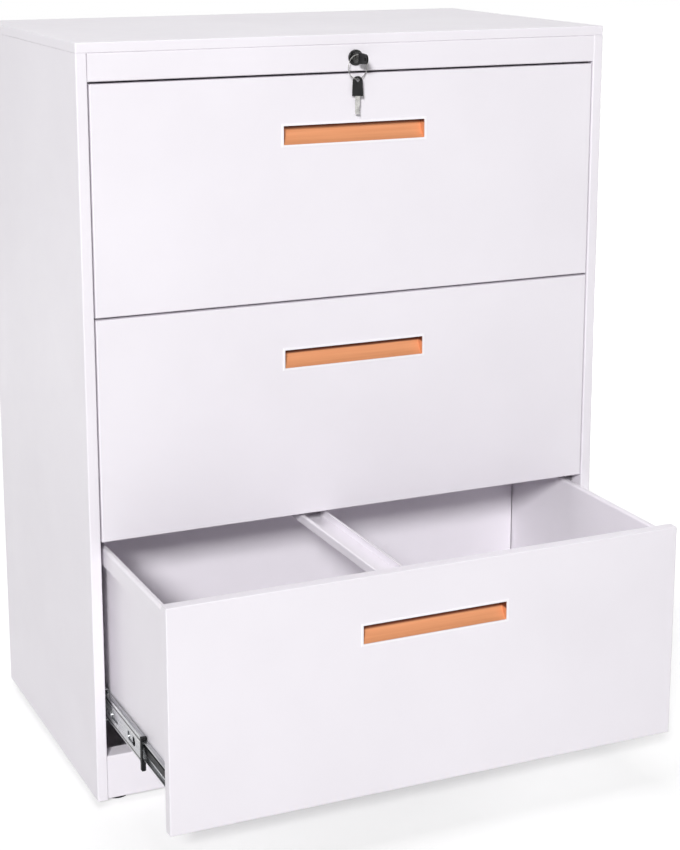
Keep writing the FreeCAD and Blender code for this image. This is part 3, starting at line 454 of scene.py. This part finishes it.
for drawer in DRAWERS:
    low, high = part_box(f"{drawer}_slide_inners")
    level = (low.z + high.z) / 2
    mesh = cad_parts[f"{drawer}_slide_inners"].data
    corners = np.empty(len(mesh.vertices) * 3)
    mesh.vertices.foreach_get("co", corners)
    across = corners[0::3]
    for side, inwards in (("left", 1), ("right", -1)):
        ours = across[across * inwards < 0]
        face = (ours.max() if inwards > 0 else ours.min()) - inwards * WEB
        screws = copies_mesh(
            f"{drawer}_{side}_slide_screws",
            pan_head(),
            [(0, 1, 0), (0, 0, 1), (-inwards, 0, 0)],
            [(face, low.y + place, level) for place in SCREW_PLACES],
            zinc_steel,
        )
        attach(screws, f"{drawer}_drawer")

# Studio: a pale floor that keeps the cabinet's soft shadow and fades to white, and large soft lamps.
# The camera stands left of the cabinet, a little above it, with a long lens.
FLOOR_SIZE = 30.0
FLOOR_COLOUR = (0.70, 0.70, 0.70, 1.0)
FLOOR_LIFT = 0.45
FLOOR_NEAR = 0.9
FLOOR_FAR = 3.0
WORLD_LIGHT = 0.06
FLOOR_ROUGHNESS = 0.9
SENSOR = 36.0
LENS = 80.0
LENS_SHIFT = -0.12
CAMERA_PLACE = (-1.050, -2.4995, 1.204)
CAMERA_TILT = 12.8
CAMERA_TURN = -24.35


def seen_directly(tree):
    """One for rays from the camera, from mirrors and through glass, and zero for other light."""
    path = tree.nodes.new("ShaderNodeLightPath")
    first = tree.nodes.new("ShaderNodeMath")
    second = tree.nodes.new("ShaderNodeMath")
    first.operation = second.operation = "MAXIMUM"
    tree.links.new(path.outputs["Is Camera Ray"], first.inputs[0])
    tree.links.new(path.outputs["Is Glossy Ray"], first.inputs[1])
    tree.links.new(first.outputs["Value"], second.inputs[0])
    tree.links.new(path.outputs["Is Transmission Ray"], second.inputs[1])
    return second.outputs["Value"]


scene = bpy.context.scene
scene.view_settings.view_transform = "Standard"

world = bpy.data.worlds.new("studio")
world.use_nodes = True
scene.world = world
tree = world.node_tree
strength = tree.nodes.new("ShaderNodeMapRange")
strength.inputs["To Min"].default_value = WORLD_LIGHT
strength.inputs["To Max"].default_value = 1.0
tree.links.new(seen_directly(tree), strength.inputs["Value"])
tree.links.new(strength.outputs["Result"], tree.nodes["Background"].inputs["Strength"])
tree.nodes["Background"].inputs["Color"].default_value = (1.0, 1.0, 1.0, 1.0)

half = FLOOR_SIZE / 2
floor_mesh = bpy.data.meshes.new("floor")
corners = [(-half, -half, 0), (half, -half, 0), (half, half, 0), (-half, half, 0)]
floor_mesh.from_pydata(corners, [], [(0, 1, 2, 3)])
floor = bpy.data.objects.new("floor", floor_mesh)
scene.collection.objects.link(floor)
floor_paint, tree, shader = plain_material("pale_floor")
shader.inputs["Base Color"].default_value = FLOOR_COLOUR
shader.inputs["Roughness"].default_value = FLOOR_ROUGHNESS
shader.inputs["Specular IOR Level"].default_value = 0.0
shader.inputs["Emission Color"].default_value = (1.0, 1.0, 1.0, 1.0)
spot = tree.nodes.new("ShaderNodeTexCoord")
away = tree.nodes.new("ShaderNodeVectorMath")
away.operation = "LENGTH"
fade = tree.nodes.new("ShaderNodeMapRange")
fade.interpolation_type = "SMOOTHSTEP"
fade.inputs["From Min"].default_value = FLOOR_NEAR
fade.inputs["From Max"].default_value = FLOOR_FAR
fade.inputs["To Min"].default_value = FLOOR_LIFT
fade.inputs["To Max"].default_value = 1.0
lift = tree.nodes.new("ShaderNodeMath")
lift.operation = "MULTIPLY"
tree.links.new(spot.outputs["Object"], away.inputs[0])
tree.links.new(away.outputs["Value"], fade.inputs["Value"])
tree.links.new(seen_directly(tree), lift.inputs[0])
tree.links.new(fade.outputs["Result"], lift.inputs[1])
tree.links.new(lift.outputs["Value"], shader.inputs["Emission Strength"])
floor_mesh.materials.append(floor_paint)


def soft_lamp(name, place, target, size, power):
    """Square area lamp that looks at a point."""
    lamp = bpy.data.lights.new(name, "AREA")
    lamp.shape = "SQUARE"
    lamp.size = size
    lamp.energy = power
    holder = bpy.data.objects.new(name, lamp)
    holder.location = place
    look = Vector(target) - holder.location
    holder.rotation_euler = look.to_track_quat("-Z", "Y").to_euler()
    scene.collection.objects.link(holder)


soft_lamp("front_lamp", (-3.8, -6.4, 3.9), (0.0, -0.2, 0.5), 1.2, 562.0)
soft_lamp("left_lamp", (-2.8, 2.2, 0.75), (0.0, 0.2, 0.5), 1.2, 15.0)
soft_lamp("right_lamp", (3.0, 1.6, 0.75), (0.0, 0.2, 0.5), 1.2, 58.0)
soft_lamp("rear_lamp", (0.3, 3.4, 0.5), (0.0, 0.2, 0.5), 1.0, 42.0)
soft_lamp("top_lamp", (0.0, 0.1, 3.8), (0.0, 0.0, 0.8), 2.0, 36.0)

camera_data = bpy.data.cameras.new("camera")
camera_data.lens = LENS
camera_data.sensor_width = SENSOR
camera_data.shift_y = LENS_SHIFT
camera = bpy.data.objects.new("camera", camera_data)
camera.location = CAMERA_PLACE
camera.rotation_euler = (radians(90.0 - CAMERA_TILT), 0.0, radians(CAMERA_TURN))
scene.collection.objects.link(camera)
scene.camera = camera
